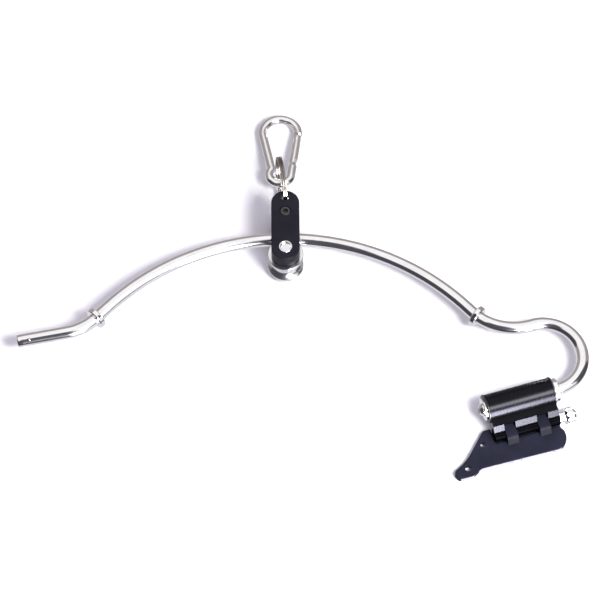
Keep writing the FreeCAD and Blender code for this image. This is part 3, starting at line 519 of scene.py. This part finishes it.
def gate_frame():
    """In the hook's plane, at the top of the gate, X down the gate's own line."""
    top = Vector((0, HOOK_CENTRES, 0)) + polar(-GATE_SLOPE, HOOK_BIG)
    return Matrix.Translation(top * MM) @ Matrix.Rotation(math.radians(-90 - GATE_SLOPE), 4, "Z")


def add_block(obj, base, corner, size):
    """Adds a small box with eased edges to a piece, in millimetres from its corner."""
    bm = bmesh.new()
    bm.from_mesh(obj.data)
    middle = Matrix.Translation((Vector(corner) + Vector(size) / 2) * MM)
    stretch = Matrix.Diagonal((*(Vector(size) * MM), 1))
    made = bmesh.ops.create_cube(bm, size=1.0, matrix=base @ middle @ stretch)
    edges = list({edge for vert in made["verts"] for edge in vert.link_edges})
    bmesh.ops.bevel(bm, geom=edges, offset=0.3 * MM, segments=3, profile=0.5, affect="EDGES")
    bm.to_mesh(obj.data)
    bm.free()


def make_hook():
    """The bent wire of the snap hook with the tongue its gate pivots on and the nose it shuts against."""
    start = polar(180 + HOOK_LEAN, HOOK_BIG + HOOK_NECK) + Vector((0, HOOK_CENTRES, 0))
    down = polar(HOOK_LEAN - 90, 1.0)
    along = -start.dot(down)
    run = along - math.sqrt(along ** 2 - start.length_squared + (HOOK_NECK + HOOK_SMALL) ** 2)
    neck = start + down * run
    meeting = math.degrees(math.atan2(neck.y, neck.x)) % 360
    steps = [(GATE_RUN - LATCH,), (HOOK_SMALL, -(360 - meeting - GATE_SLOPE)),
             (HOOK_NECK, 180 + HOOK_LEAN - meeting), (run,),
             (HOOK_BIG, -(180 + HOOK_LEAN + GATE_SLOPE)), (0.8,)]
    gate = HOOK @ gate_frame()
    base = gate @ Matrix.Translation((LATCH * MM, 0, 0))
    stations = rounded_ends(along_path(base, steered((0, 0), 0.0, steps, 0.6)), 3.5 * MM)
    wire = sweep("hook_wire", stations, circle(3.5 * MM, 48))
    blocks = {"tongue": ((0, -2.8, -1.5), (10.0, 5.6, 3.0)),
              "nose": ((27.6, -2.5, -1.3), (6.0, 5.0, 2.6)),
              "nose bar": ((27.7, 0.0, -2.5), (2.1, 2.0, 5.0))}
    for corner, size in blocks.values():
        add_block(wire, gate, corner, size)
    finish_piece(wire, "hook", "hook_stainless", "hook_body")


def helix(name, base, radius, wire, length, turns):
    """A coil spring standing on its base frame's Z, in millimetres."""
    stations, count = [], int(turns * 24)
    for k in range(count + 1):
        a = 2 * math.pi * turns * k / count
        rise = wire / 2 + (length - wire) * k / count
        spoke = Vector((math.cos(a), math.sin(a), 0))
        tangent = (Vector((-math.sin(a), math.cos(a), 0)) * radius * 2 * math.pi * turns
                   + Vector((0, 0, length - wire))).normalized()
        side = tangent.cross(spoke)
        turn = Matrix((tangent, spoke, side)).transposed().to_4x4()
        stations.append((base @ Matrix.Translation((spoke * radius + Vector((0, 0, rise))) * MM) @ turn, 1.0))
    return sweep(name, stations, circle(wire / 2 * MM, 10))


def make_springs():
    """The two small coil springs: one inside the gate, one under the tip's ball."""
    seat = HOOK @ gate_frame() @ Matrix.Translation((14.1 * MM, 0, 0))
    along_gate = seat @ Matrix.Rotation(math.pi / 2, 4, "Y")
    gate = helix("gate_coil", along_gate, 0.95, 0.45, 7.4, 8)
    finish_piece(gate, "gate", "spring_steel", "gate_spring")
    low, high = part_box("tip_detent_spring")
    outward = -Vector(JOINTS["detent_press"]["axis"])
    under_ball = frame_matrix((low + high) / 2 - outward * 2.6 * MM,
                              BARREL_AXIS.cross(outward), outward)
    tip = helix("ball_coil", under_ball, 1.07, 0.45, 5.2, 5)
    finish_piece(tip, "bow", "spring_steel", "tip_detent_spring")


make_camera()
make_studio()
dress_nodes()
make_rod()
make_split_ring()
make_hook()
make_springs()

bpy.context.view_layer.update()
